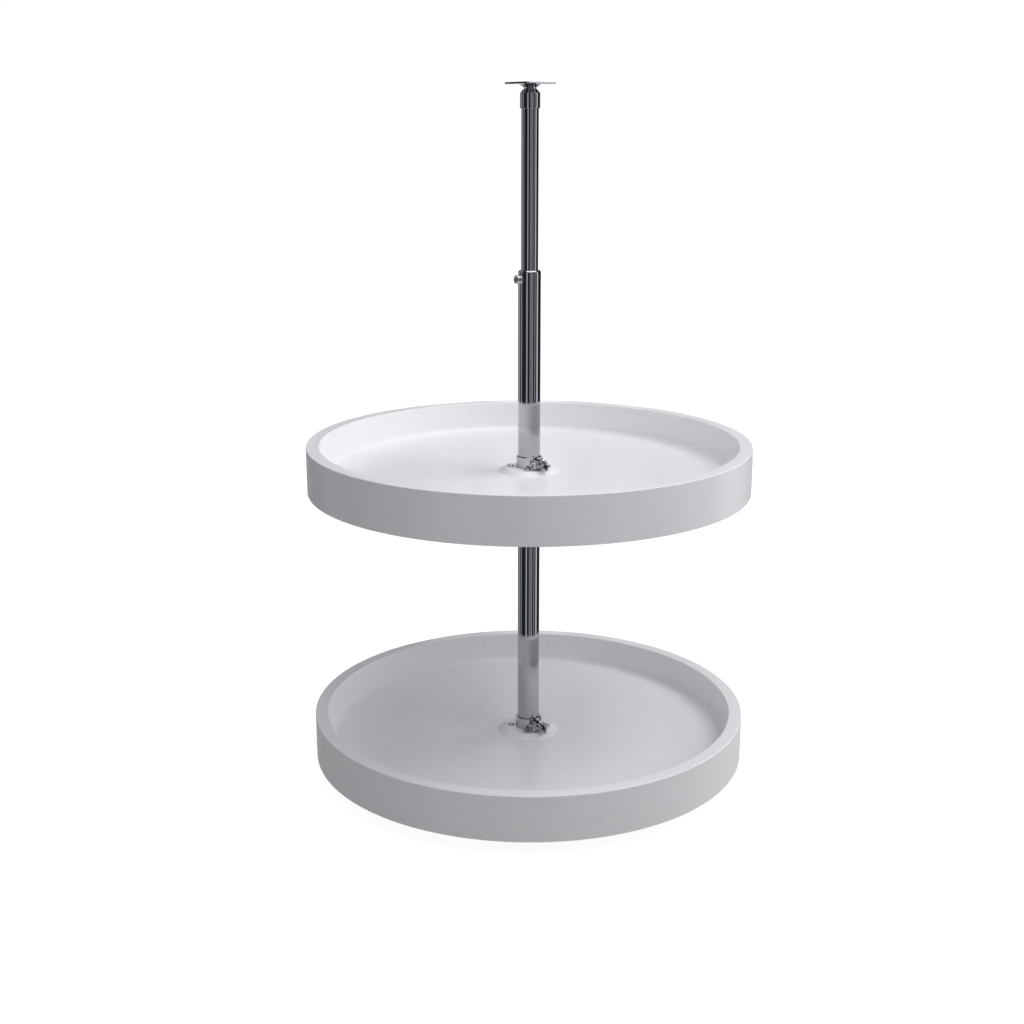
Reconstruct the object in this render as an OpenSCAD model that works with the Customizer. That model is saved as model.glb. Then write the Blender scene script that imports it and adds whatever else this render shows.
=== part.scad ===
// Two-tier rotating pantry tray unit: round moulded trays clamped to a telescoping
// chrome post that turns between a floor plate and a ceiling plate inside a cabinet.
// Millimetres. Origin: centre of the floor plate's underside. +Z up, -Y towards the door.

/* [Trays] */
// Outer diameter of a tray
tray_d = 508; // [400:1:720]
// Height of a tray's outer skirt
tray_h = 52.5; // [48:0.5:80]
// Depth of a tray's floor below its rim
tray_depth = 35.5; // [24:0.5:40]
// Width of the flat top of the rim
rim_w = 15; // [10:0.5:24]
// How far the inner wall leans in between rim and floor
wall_lean = 3.5; // [1:0.5:8]
// Moulded wall thickness
tray_t = 3; // [2:0.1:3.6]
// Radius where the inner wall meets the floor
floor_fillet = 8; // [3:0.5:12]
// Rounding of the rim's two edges
rim_edge = 1.2; // [0.6:0.1:2]
// Gap between the cabinet floor and the lower tray's skirt
floor_gap = 19; // [16:0.5:40]
// Rise from the lower tray to the upper tray
tray_rise = 321.5; // [200:0.5:420]

/* [Tray boss] */
// Height of the raised centre above the tray floor
boss_h = 5.5; // [3:0.5:9]
// Length of the boss's sloping side, measured along the floor
boss_run = 7.5; // [4:0.5:14]
// Flat land outside the hub screws' heads
boss_land = 3; // [0.5:0.1:6]
// Rounding at the foot of the boss
boss_foot_r = 4; // [1:0.5:6]
// Rounding at the top edge of the boss
boss_edge_r = 2; // [0.5:0.5:3]
// Depth of the spot faces that the hub screws' heads sit in
spot_depth = 0.8; // [0.3:0.1:1.5]

/* [Tray ribs] */
// Number of radial ribs under a tray
rib_count = 24; // [12:1:36]
// Number of ring ribs under a tray
ring_count = 5; // [3:1:7]
// Thickness of a rib
rib_t = 2; // [1.2:0.1:3]
// How far the ribs stop short of the skirt's lower edge
rib_lift = 2.5; // [1:0.5:5]
// Gap between the hub's flange and the innermost ring rib
rib_gap = 2; // [1:0.5:6]

/* [Post] */
// Outside diameter of the outer tube
post_d = 25.4; // [23:0.1:32]
// Wall of the outer tube
post_wall = 1.2; // [0.8:0.1:1.6]
// Height of the outer tube's mouth above the cabinet floor
post_top = 587.4; // [520:0.1:640]
// Outside diameter of the inner tube
inner_d = 19.05; // [16:0.05:20.5]
// Wall of the inner tube
inner_wall = 1.2; // [0.8:0.1:2]
// Height from the cabinet floor to the top face of the ceiling plate
total_h = 787.4; // [740:0.1:900]
// Length of the guide bush in the outer tube's mouth
guide_len = 30; // [24:1:50]
// Length of the bush on the inner tube's lower end
slide_len = 20; // [12:1:40]
// Thickness of that bush's lip under the inner tube
slide_lip = 1.6; // [1:0.1:3]
// Gap left between the two bushes when the post is drawn out
stop_gap = 0.4; // [0.2:0.1:2]
// Radial gap at the rolled mouth of the outer tube
mouth_gap = 0.25; // [0.1:0.05:0.4]

/* [Hub] */
// Wall of the clamp collar
collar_wall = 1.85; // [1.5:0.05:3]
// Height of the clamp collar above the boss
collar_h = 13; // [10:0.5:20]
// Thickness of the hub's dished flange
flange_t = 3; // [2:0.1:4]
// How far the flange reaches past the foot of the boss
flange_reach = 14.5; // [8:0.5:24]
// Bevel on the collar's upper edges
collar_bevel = 0.6; // [0.2:0.1:0.8]
// Width of the slit that lets the collar close
slit_w = 2.4; // [1.5:0.1:4]
// Thickness of a clamp ear
ear_t = 2.6; // [2:0.1:4]
// How far the ears stand out from the collar
ear_len = 21; // [18:0.5:30]
// Rounding of an ear's upper corner
ear_round = 8; // [3:0.5:9]
// How far the ears' tops stay below the collar's top
ear_drop = 2; // [0:0.5:2.5]
// Gap between the ears and the boss
ear_lift = 0.4; // [0.2:0.1:1]
// Direction in which the ears point, from +X
clamp_angle = -57; // [-65:1:-35]
// Number of gussets under the hub's disc
gusset_count = 8; // [4:4:16]
// Thickness of a gusset
gusset_t = 2; // [1.2:0.1:3]

/* [Hub screws] */
// Direction of the first hub screw, from +X
hub_screw_angle = -95; // [-105:1:-88]
// Gap between the collar and the hub screws' heads
hub_screw_gap = 2.4; // [2:0.1:6]
// Radius of a hub screw's head
hub_head_r = 4; // [3:0.1:5]
// Height of a hub screw's domed head
hub_head_h = 2.6; // [1.8:0.1:4]
// Rounding of a hub screw's head
hub_head_dome = 1.5; // [0.8:0.1:1.7]
// Thread radius of a hub screw
hub_screw_r = 2; // [1.5:0.1:2.5]
// How far a hub screw comes through the flange
hub_screw_tail = 1; // [0:0.5:4]
// Direction of the collar's set screw, from +X
set_angle = -3; // [-10:1:20]
// Height of the set screw above the middle of the ears
set_rise = 2.8; // [0:0.1:3.2]
// Thread radius of the set screw
set_r = 2; // [1.5:0.1:2.3]
// Wall of the small boss round the set screw
set_wall = 1.4; // [1:0.1:2]
// How far that boss stands off the collar
set_stand = 1.1; // [0.5:0.1:3]

/* [Clamp bolt] */
// Thread radius of the clamp bolt
bolt_r = 2.5; // [2:0.1:3]
// Radius of the clamp bolt's head
bolt_head_r = 4.25; // [3.5:0.05:5.5]
// Height of the clamp bolt's head
bolt_head_h = 5; // [3:0.5:6]
// Distance from the collar to the clamp bolt's axis
bolt_reach = 7.6; // [6.5:0.1:12]
// How far the clamp bolt comes through its nut
bolt_tail = 2; // [0:0.5:5]
// Width across the flats of the clamp nut
nut_af = 8; // [7:0.1:10]
// Thickness of the clamp nut
nut_t = 4; // [3:0.1:6]
// Height of the turned-off corners on both faces of the nut
nut_chamfer = 0.5; // [0.2:0.1:0.8]
// Radius of the clamp washer
bolt_washer_r = 5; // [4.5:0.1:6]
// Thickness of the washers under the clamp bolts and the lock screw
washer_t = 0.8; // [0.5:0.1:1.5]

/* [Height lock] */
// Direction of the lock screw, from +X
lock_angle = -146; // [-180:1:-100]
// Distance from the outer tube's mouth down to the lock screw
lock_drop = 10; // [9:0.5:24]
// Thread radius of the lock screw
lock_r = 3; // [2:0.1:3.5]
// Radius of the lock screw's head
lock_head_r = 5; // [4:0.1:7]
// Height of the lock screw's head
lock_head_h = 4.6; // [3:0.1:8]
// Rounding of the lock screw's head
lock_head_dome = 2; // [0.5:0.1:2.5]
// Wall of the threaded insert
insert_wall = 1.2; // [0.8:0.1:2]
// Radius of the insert's saddle flange
insert_flange_r = 5; // [4.8:0.1:7]
// How far the saddle flange stands off the outer tube
insert_stand = 0.9; // [0.5:0.1:3]
// Gap between the insert's inner end and the inner tube
insert_gap = 0.6; // [0.3:0.1:1]

/* [Ceiling end] */
// Side of the square ceiling plate
top_side = 40; // [38:0.5:80]
// Thickness of the ceiling plate
top_t = 2; // [1.5:0.1:4]
// Corner radius of the ceiling plate
top_corner = 2; // [1:0.5:6]
// Distance from the axis to the ceiling plate's screw holes
top_hole_ring = 20; // [18.5:0.1:21]
// Radius of the ceiling plate's screw holes
top_hole_r = 2.25; // [1.5:0.05:2.6]
// Depth of the countersinks in the ceiling plate
top_sink = 1.2; // [0.5:0.1:1.4]
// Turn of the ceiling plate, whose corners else point to the front, back and sides
top_turn = -5; // [-45:1:45]
// Height of the trumpet under the ceiling plate
flare_h = 3.9; // [2.5:0.1:8]
// Radius of the trumpet where it meets the ceiling plate
flare_r = 16; // [10:0.1:16.4]
// Angle at which the trumpet's curve leaves the neck
flare_angle = 45; // [20:5:70]
// Radius of the ceiling pivot pin
top_pin_r = 4; // [3:0.1:4.5]
// How far the ceiling pivot pin reaches below its plate
top_pin_len = 22; // [16:0.5:30]
// Wall of the ceiling bush
top_bush_wall = 1.3; // [0.8:0.1:1.8]
// Thickness of the ceiling bush's flange
top_bush_flange = 2; // [1:0.1:3]
// Wall of the cap's neck
neck_wall = 1.2; // [0.8:0.1:1.8]
// Gap between the cap and the trumpet
ceiling_gap = 0.4; // [0.2:0.1:2]
// Height of the cap's sloping shoulder
cap_cone_h = 4.8; // [3:0.1:8]
// Length of the cap's sleeve over the inner tube
cap_len = 16.2; // [10:0.1:30]
// Wall of the cap's sleeve
cap_wall = 1.4; // [1:0.1:2]
// Thickness of the cap's inside shoulder on the inner tube's end
cap_seat = 2; // [1:0.1:4]
// Bevel on the cap's lower edge
cap_bevel = 0.3; // [0.1:0.1:0.6]

/* [Floor end] */
// Side of the square floor plate
base_side = 76; // [72:1:120]
// Thickness of the floor plate
base_t = 3; // [2:0.1:5]
// Corner radius of the floor plate
base_corner = 6; // [3:0.5:10]
// Distance from the axis to the floor plate's screw holes
base_hole_ring = 40; // [34:0.5:42]
// Radius of the floor plate's screw holes
base_hole_r = 2.75; // [2:0.05:3.5]
// Depth of the countersinks in the floor plate
base_sink = 1.8; // [0.5:0.1:1.9]
// Radius of the floor pivot pin
base_pin_r = 5; // [4:0.1:6]
// Height of the floor pivot pin above the bearing
base_pin_len = 27; // [16:0.5:40]
// Bevel on the ends of both pivot pins
pin_bevel = 1.2; // [0.5:0.1:2]
// Gap between the floor pivot pin and the bearing races
race_gap = 1.2; // [0.5:0.1:2]
// Number of balls in the thrust bearing
ball_count = 10; // [6:1:12]
// Radius of a ball
ball_r = 2; // [1.5:0.1:2.4]
// Thickness of a bearing race
race_t = 1.6; // [1.2:0.1:2.5]
// Width of a bearing race, inner edge to outer edge
race_w = 7.6; // [6.5:0.1:9]
// Depth of the ball groove in a race
groove = 0.5; // [0.3:0.05:0.8]
// Thickness of the ball cage
cage_t = 1.4; // [0.8:0.1:1.8]
// How far the cage stays inside the races' edges
cage_inset = 0.6; // [0.3:0.1:1]
// Thickness of the end plug's flange
plug_flange_t = 2; // [1.5:0.1:4]
// How far the end plug's flange stands out past the outer tube
plug_lip = 1.1; // [0.5:0.1:3]
// Solid length of the end plug above the floor pivot pin
plug_cap = 4; // [2:0.5:10]
// Room above the floor pivot pin in its bore
plug_room = 1; // [0.5:0.1:3]

/* [Fits] */
// Radial clearance of parts that slide or turn on each other
run_fit = 0.06; // [0.03:0.01:0.1]
// Radial clearance of parts that are pressed or screwed together
press_fit = 0.02; // [0.01:0.01:0.03]
// Radial clearance of holes that fasteners pass through
free_fit = 0.25; // [0.15:0.05:0.4]

/* [Hidden] */
$fn = 96;
EPS = 0.5;                // how far a cut or a join runs past a face

// Tray, in its own height: 0 is the skirt's lower edge
tray_r = tray_d / 2;
rim_in_r = tray_r - rim_w;
floor_r = rim_in_r - wall_lean;
floor_z = tray_h - tray_depth;
lean = atan(wall_lean / tray_depth);
slope = atan(boss_h / boss_run);
inset = tan(slope / 2);   // how far a parallel wall moves in along a corner, per millimetre
boss_z = floor_z + boss_h;
collar_z = boss_z + collar_h;
lower_z = floor_gap;
upper_z = floor_gap + tray_rise;

// Radii that follow from the post outwards
post_r = post_d / 2;
post_bore = post_r - post_wall;
inner_r = inner_d / 2;
inner_bore = inner_r - inner_wall;
hub_bore = post_r + run_fit;
collar_r = hub_bore + collar_wall;
collar_mid = hub_bore + collar_wall / 2;
hub_screw_ring = collar_r + hub_screw_gap + hub_head_r;
boss_top_r = hub_screw_ring + hub_head_r + boss_land;
boss_r = boss_top_r + boss_run;
flange_r = boss_r + flange_reach;
tray_hole_r = collar_r + free_fit;

// Clamp
ear_z = boss_z + ear_lift;
ear_top = collar_z - ear_drop;
ear_end = collar_r + ear_len;
ear_out = slit_w / 2 + ear_t;
bolt_x = collar_r + bolt_reach;
bolt_z = (ear_z + ear_top) / 2;
bolt_len = 2 * ear_out + washer_t + nut_t + bolt_tail;
set_z = bolt_z + set_rise;
set_out = collar_r + set_stand;

// Height lock
lock_z = post_top - lock_drop;
insert_r = lock_r + run_fit + insert_wall;
insert_out = post_r + insert_stand;

// Floor end, stacked up from the plate
race_z = base_t;
ball_z = race_z + race_t - groove + ball_r;
upper_race_z = ball_z + ball_r - groove;
plug_z = upper_race_z + race_t;
post_z = plug_z + plug_flange_t;
base_pin_top = plug_z + base_pin_len;
plug_top = base_pin_top + plug_room + plug_cap;
race_in = base_pin_r + race_gap;
race_out = race_in + race_w;
ball_ring = (race_in + race_out) / 2;

// Ceiling end, stacked down from the plate
top_plate_z = total_h - top_t;
flare_z = top_plate_z - flare_h;
cap_top = flare_z - ceiling_gap;
shoulder_z = cap_top - cap_cone_h;
cap_z = shoulder_z - cap_len;
inner_top = shoulder_z - cap_seat;
neck_bore = top_pin_r + run_fit + top_bush_wall + press_fit;
neck_r = neck_bore + neck_wall;
cap_bore = inner_r + press_fit;
cap_r = cap_bore + cap_wall;

// Telescope, shown drawn out to its stop
roll_r = post_r - inner_r - mouth_gap;
guide_top = post_top - roll_r;
guide_z = guide_top - guide_len;
inner_z = guide_z - stop_gap - slide_len;

// Points of an arc about (x, y), from angle a to angle b
function arc(x, y, r, a, b, steps = 6) =
    [for (i = [0:steps]) let (t = a + (b - a) * i / steps) [x + r * cos(t), y + r * sin(t)]];

module ring(r_out, r_in, h) {
    difference() {
        cylinder(r = r_out, h = h);
        translate([0, 0, -EPS]) cylinder(r = r_in, h = h + 2 * EPS);
    }
}

// Hexagonal prism, measured across its flats
module hex(af, h) {
    cylinder(r = af / sqrt(3), h = h, $fn = 6);
}

// Square plate with rounded corners, its corners on the X and Y axes
module plate(side, t, corner) {
    flat = side - 2 * corner;
    rotate([0, 0, 45]) {
        translate([-side / 2, -flat / 2, 0]) cube([side, flat, t]);
        translate([-flat / 2, -side / 2, 0]) cube([flat, side, t]);
        for (x = [-1, 1], y = [-1, 1])
            translate([x * flat / 2, y * flat / 2, 0]) cylinder(r = corner, h = t);
    }
}

// Cutter for four holes through a plate of thickness t, countersunk on its upper face
module plate_holes(hole_ring, r, t, sink) {
    for (i = [0:3]) rotate([0, 0, 90 * i]) translate([hole_ring, 0, 0]) {
        translate([0, 0, -EPS]) cylinder(r = r, h = t + 2 * EPS);
        translate([0, 0, t - sink]) cylinder(r1 = r, r2 = r + sink + EPS, h = sink + EPS);
    }
}

// Places its children on the line of a screw that stands out from the post
module radial(angle, z) {
    rotate([0, 0, angle]) translate([0, 0, z]) rotate([0, 90, 0]) children();
}

// Places its children on the clamp bolt's line, with the head's side up
module bolt_line(z) {
    rotate([0, 0, clamp_angle]) translate([bolt_x, 0, z + bolt_z]) rotate([90, 0, 0]) children();
}

// Socket-head screw, its head up from 0 and its shank down
module cap_screw(r, length, head_r, head_h, dome) {
    bevel = r / 5;
    difference() {
        rotate_extrude() polygon(concat(
            [[0, -length], [r - bevel, -length], [r, bevel - length], [r, 0], [head_r, 0]],
            arc(head_r - dome, head_h - dome, dome, 0, 90, 4),
            [[0, head_h]]));
        translate([0, 0, head_h / 2]) hex(r * 1.6, head_h);
    }
}

// ---- Trays ----

// Half of the tray's section: skirt, rim, inner wall, floor and boss, open underneath
module tray_section() {
    corner = tan((90 + lean) / 2);
    fillet_t = floor_fillet / corner;
    foot_t = boss_foot_r * inset;
    crown_t = boss_edge_r * inset;
    under = floor_z - tray_t;
    wall_out = floor_r + tray_t / cos(lean);
    polygon(concat(
        [[tray_r, 0]],
        arc(tray_r - rim_edge, tray_h - rim_edge, rim_edge, 0, 90),
        arc(rim_in_r + rim_edge / corner, tray_h - rim_edge, rim_edge, 90, 180 - lean),
        arc(floor_r - fillet_t, floor_z + floor_fillet, floor_fillet, -lean, -90, 10),
        arc(boss_r + foot_t, floor_z + boss_foot_r, boss_foot_r, -90, -90 - slope),
        arc(boss_top_r - crown_t, boss_z - boss_edge_r, boss_edge_r, 90 - slope, 90),
        [[tray_hole_r, boss_z],
         [tray_hole_r, boss_z - tray_t],
         [boss_top_r - tray_t * inset, boss_z - tray_t],
         [boss_r - tray_t * inset, under],
         [wall_out - tray_t * tan(lean), under],
         [wall_out + (tray_depth - tray_t) * tan(lean), tray_h - tray_t],
         [tray_r - tray_t, tray_h - tray_t],
         [tray_r - tray_t, 0]]));
}

// Web of radial and ring ribs that stiffens the floor and ties the skirt to it
module tray_ribs() {
    rib_h = floor_z - tray_t / 2 - rib_lift;
    first_r = flange_r + rib_gap;
    pitch = (floor_r - first_r) / ring_count;
    translate([0, 0, rib_lift]) {
        for (i = [0:rib_count - 1])
            rotate([0, 0, (i + 0.5) * 360 / rib_count])
                translate([first_r + rib_t / 2, -rib_t / 2, 0])
                    cube([tray_r - tray_t / 2 - first_r - rib_t / 2, rib_t, rib_h]);
        for (i = [0:ring_count - 1])
            let (r = first_r + pitch * i)
                ring(r + rib_t, r, rib_h);
    }
}

module tray(z) {
    color("whitesmoke") translate([0, 0, z]) difference() {
        union() {
            rotate_extrude() tray_section();
            tray_ribs();
        }
        for (i = [0:3])
            rotate([0, 0, hub_screw_angle + 90 * i]) translate([hub_screw_ring, 0, 0]) {
                cylinder(r = hub_screw_r + free_fit, h = tray_h);
                translate([0, 0, boss_z - spot_depth])
                    cylinder(r = hub_head_r + free_fit, h = spot_depth + EPS);
            }
    }
}

// ---- Hubs ----

// Half of the hub's section: bored collar and a dished flange that hugs the boss from below
module hub_section() {
    disc_top = boss_z - tray_t;
    ring_top = floor_z - tray_t;
    gap = press_fit + tray_t * inset;
    deep = gap + flange_t * inset;
    polygon([
        [hub_bore, ring_top - flange_t],
        [collar_r, ring_top - flange_t],
        [collar_r, disc_top - flange_t],
        [boss_top_r - deep, disc_top - flange_t],
        [boss_r - deep, ring_top - flange_t],
        [flange_r, ring_top - flange_t],
        [flange_r, ring_top],
        [boss_r - gap, ring_top],
        [boss_top_r - gap, disc_top],
        [collar_r, disc_top],
        [collar_r, collar_z - collar_bevel],
        [collar_r - collar_bevel, collar_z],
        [hub_bore + collar_bevel / 2, collar_z],
        [hub_bore, collar_z - collar_bevel / 2]]);
}

// One clamp ear, seen from its side: square below, rounded at its upper corner
module ear_side() {
    corner_x = ear_end - ear_round;
    corner_z = ear_top - ear_round;
    intersection() {
        translate([collar_mid, ear_z]) square([ear_end - collar_mid, ear_top - ear_z]);
        union() {
            translate([collar_mid, ear_z]) square([corner_x - collar_mid, ear_top - ear_z]);
            translate([corner_x - EPS, ear_z]) square([ear_round + EPS, corner_z - ear_z]);
            translate([corner_x, corner_z]) circle(r = ear_round);
        }
    }
}

// Gussets that tie the collar's foot to the disc and the dished flange above them
module hub_gussets() {
    disc_top = boss_z - tray_t;
    foot = floor_z - tray_t - flange_t;
    half = 180 / gusset_count;
    for (i = [0:gusset_count - 1])
        rotate([0, 0, hub_screw_angle + half + 2 * half * i])
            translate([collar_mid, -gusset_t / 2, foot])
                cube([boss_top_r - collar_mid, gusset_t, disc_top - flange_t / 2 - foot]);
}

module hub(z) {
    color("silver") translate([0, 0, z]) difference() {
        union() {
            rotate_extrude() hub_section();
            hub_gussets();
            rotate([0, 0, clamp_angle]) for (side = [-ear_out, slit_w / 2])
                translate([0, side + ear_t, 0]) rotate([90, 0, 0])
                    linear_extrude(ear_t) ear_side();
            radial(set_angle, set_z) translate([0, 0, collar_mid])
                cylinder(r = set_r + set_wall, h = set_out - collar_mid);
        }
        rotate([0, 0, clamp_angle]) translate([0, -slit_w / 2, boss_z - tray_t])
            cube([ear_end + EPS, slit_w, tray_h]);
        bolt_line(0) cylinder(r = bolt_r + free_fit, h = 4 * ear_out, center = true);
        radial(set_angle, set_z) cylinder(r = set_r + press_fit, h = set_out + EPS);
        for (i = [0:3]) rotate([0, 0, hub_screw_angle + 90 * i])
            translate([hub_screw_ring, 0, 0]) cylinder(r = hub_screw_r + press_fit, h = boss_z);
    }
}

// Four pan-head screws with cross recesses, driven down through the boss into the flange
module hub_screws(z) {
    reach = tray_t + flange_t + hub_screw_tail - spot_depth;
    slot = hub_screw_r / 2;
    for (i = [0:3])
        color("gainsboro") rotate([0, 0, hub_screw_angle + 90 * i])
            translate([hub_screw_ring, 0, z + boss_z - spot_depth]) difference() {
                rotate_extrude() polygon(concat(
                    [[0, -reach], [hub_screw_r, -reach], [hub_screw_r, 0], [hub_head_r, 0]],
                    arc(hub_head_r - hub_head_dome, hub_head_h - hub_head_dome,
                        hub_head_dome, 0, 90),
                    [[0, hub_head_h]]));
                for (turn = [45, 135]) rotate([0, 0, turn])
                    translate([-hub_screw_r, -slot / 2, hub_head_h / 2])
                        cube([2 * hub_screw_r, slot, hub_head_h]);
            }
}

module set_screw(z) {
    tip = post_r + run_fit;
    color("gainsboro") translate([0, 0, z]) radial(set_angle, set_z) difference() {
        translate([0, 0, tip]) cylinder(r = set_r, h = set_out - tip);
        translate([0, 0, (tip + set_out) / 2]) hex(set_r, set_out);
    }
}

// Hexagon nut, its corners turned off on both faces
module clamp_nut(z) {
    face_r = nut_af / 2 - nut_chamfer / 2;
    wide_r = face_r + 2 * nut_chamfer;
    color("gainsboro") bolt_line(z) translate([0, 0, -ear_out - nut_t]) difference() {
        intersection() {
            hex(nut_af, nut_t);
            rotate_extrude() polygon([
                [0, 0], [face_r, 0], [wide_r, nut_chamfer], [wide_r, nut_t - nut_chamfer],
                [face_r, nut_t], [0, nut_t]]);
        }
        translate([0, 0, -EPS]) cylinder(r = bolt_r + run_fit, h = nut_t + 2 * EPS);
    }
}

module clamp_washer(z) {
    color("gainsboro") bolt_line(z) translate([0, 0, ear_out])
        ring(bolt_washer_r, bolt_r + free_fit, washer_t);
}

module clamp_bolt(z) {
    color("gainsboro") bolt_line(z) translate([0, 0, ear_out + washer_t])
        cap_screw(bolt_r, bolt_len, bolt_head_r, bolt_head_h, bolt_r / 5);
}

// ---- Post ----

// Outer tube, its mouth rolled in to meet the inner tube
module outer_tube() {
    mouth_r = inner_r + mouth_gap;
    color("silver") difference() {
        rotate_extrude() polygon(concat(
            [[post_r, post_z]],
            arc(mouth_r, guide_top, roll_r, 0, 90, 8),
            arc(mouth_r, guide_top, roll_r - post_wall, 90, 0, 8),
            [[post_bore, post_z]]));
        radial(lock_angle, lock_z) cylinder(r = insert_r + press_fit, h = post_d);
    }
}

module guide_bush() {
    color("ivory") difference() {
        translate([0, 0, guide_z]) ring(post_bore - press_fit, inner_r + run_fit, guide_len);
        radial(lock_angle, lock_z) cylinder(r = insert_r + press_fit, h = post_d);
    }
}

// Threaded insert with a saddle flange that fits the outer tube
module lock_insert() {
    insert_in = inner_r + insert_gap;
    color("gainsboro") difference() {
        union() {
            radial(lock_angle, lock_z) translate([0, 0, insert_in])
                cylinder(r = insert_r, h = insert_out - insert_in);
            difference() {
                radial(lock_angle, lock_z) translate([0, 0, insert_in])
                    cylinder(r = insert_flange_r, h = insert_out - insert_in);
                translate([0, 0, lock_z]) cylinder(r = post_r + press_fit, h = post_d, center = true);
            }
        }
        radial(lock_angle, lock_z) cylinder(r = lock_r + run_fit, h = insert_out + EPS);
    }
}

module lock_washer() {
    color("gainsboro") radial(lock_angle, lock_z) translate([0, 0, insert_out])
        ring(lock_head_r, lock_r + free_fit, washer_t);
}

module lock_screw() {
    seat = insert_out + washer_t;
    tip = inner_r + run_fit;
    color("gainsboro") radial(lock_angle, lock_z) translate([0, 0, seat])
        cap_screw(lock_r, seat - tip, lock_head_r, lock_head_h, lock_head_dome);
}

module inner_tube() {
    color("silver") translate([0, 0, inner_z]) ring(inner_r, inner_bore, inner_top - inner_z);
}

// Bush pressed over the inner tube's lower end; it stops the draw-out at the guide bush
module slide_bush() {
    color("ivory") difference() {
        translate([0, 0, inner_z - slide_lip])
            cylinder(r = post_bore - run_fit, h = slide_len + slide_lip);
        translate([0, 0, inner_z]) cylinder(r = inner_r + press_fit, h = slide_len + EPS);
        translate([0, 0, inner_z - slide_lip - EPS]) cylinder(r = inner_bore, h = slide_lip + 2 * EPS);
    }
}

// ---- Ceiling end ----

// Sleeve over the inner tube's end, with a sloping shoulder up to its neck
module top_cap() {
    color("silver") rotate_extrude() polygon([
        [neck_bore, inner_top], [cap_bore, inner_top], [cap_bore, cap_z],
        [cap_r - cap_bevel, cap_z], [cap_r, cap_z + cap_bevel],
        [cap_r, shoulder_z], [neck_r, cap_top], [neck_bore, cap_top]]);
}

module top_bush() {
    color("ivory") difference() {
        union() {
            translate([0, 0, inner_top - top_bush_flange / 2])
                cylinder(r = neck_bore - press_fit, h = cap_top - inner_top + top_bush_flange / 2);
            translate([0, 0, inner_top - top_bush_flange])
                cylinder(r = inner_bore - press_fit, h = top_bush_flange);
        }
        translate([0, 0, inner_top - top_bush_flange - EPS])
            cylinder(r = top_pin_r + run_fit, h = cap_top - inner_top + top_bush_flange + 2 * EPS);
    }
}

// Ceiling plate with a trumpet pressed into its underside
module top_plate() {
    trumpet = [for (t = [flare_angle:5:90])
        [neck_r + (flare_r - neck_r) * (1 - cos(t) / cos(flare_angle)),
         flare_z + flare_h * (sin(t) - sin(flare_angle)) / (1 - sin(flare_angle))]];
    mid = top_plate_z + top_t / 2;
    color("silver") difference() {
        union() {
            translate([0, 0, top_plate_z]) rotate([0, 0, top_turn]) plate(top_side, top_t, top_corner);
            rotate_extrude() polygon(concat(trumpet, [[flare_r, mid], [0, mid], [0, flare_z]]));
        }
        translate([0, 0, flare_z - EPS])
            cylinder(r = top_pin_r + press_fit, h = flare_h + top_t + 2 * EPS);
        translate([0, 0, total_h]) rotate([0, 0, top_turn]) mirror([0, 0, 1])
            plate_holes(top_hole_ring, top_hole_r, top_t, top_sink);
    }
}

module top_pivot_pin() {
    pin_z = top_plate_z - top_pin_len;
    color("gainsboro") rotate_extrude() polygon([
        [0, pin_z], [top_pin_r - pin_bevel, pin_z], [top_pin_r, pin_z + pin_bevel],
        [top_pin_r, total_h], [0, total_h]]);
}

// ---- Floor end ----

module base_plate() {
    color("silver") difference() {
        plate(base_side, base_t, base_corner);
        translate([0, 0, -EPS]) cylinder(r = base_pin_r + press_fit, h = base_t + 2 * EPS);
        plate_holes(base_hole_ring, base_hole_r, base_t, base_sink);
    }
}

module base_pivot_pin() {
    color("gainsboro") rotate_extrude() polygon([
        [0, 0], [base_pin_r, 0], [base_pin_r, base_pin_top - pin_bevel],
        [base_pin_r - pin_bevel, base_pin_top], [0, base_pin_top]]);
}

// Grooved ring that the balls run on
module race(z) {
    color("gainsboro") difference() {
        translate([0, 0, z]) ring(race_out, race_in, race_t);
        rotate_extrude() translate([ball_ring, ball_z]) circle(r = ball_r + press_fit);
    }
}

module ball_cage() {
    color("goldenrod") difference() {
        translate([0, 0, ball_z - cage_t / 2]) ring(race_out - cage_inset, race_in + cage_inset, cage_t);
        for (i = [0:ball_count - 1]) rotate([0, 0, i * 360 / ball_count])
            translate([ball_ring, 0, ball_z])
                cylinder(r = ball_r + run_fit, h = 2 * cage_t, center = true);
    }
}

module bearing_balls() {
    for (i = [0:ball_count - 1]) color("gainsboro") rotate([0, 0, i * 360 / ball_count])
        translate([ball_ring, 0, ball_z]) sphere(r = ball_r);
}

// Plug in the outer tube's foot: its flange carries the post on the bearing
module post_end_plug() {
    color("ivory") difference() {
        union() {
            translate([0, 0, plug_z]) cylinder(r = post_r + plug_lip, h = plug_flange_t);
            translate([0, 0, plug_z]) cylinder(r = post_bore - press_fit, h = plug_top - plug_z);
        }
        translate([0, 0, plug_z - EPS])
            cylinder(r = base_pin_r + run_fit, h = base_pin_len + plug_room + EPS);
    }
}

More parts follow.
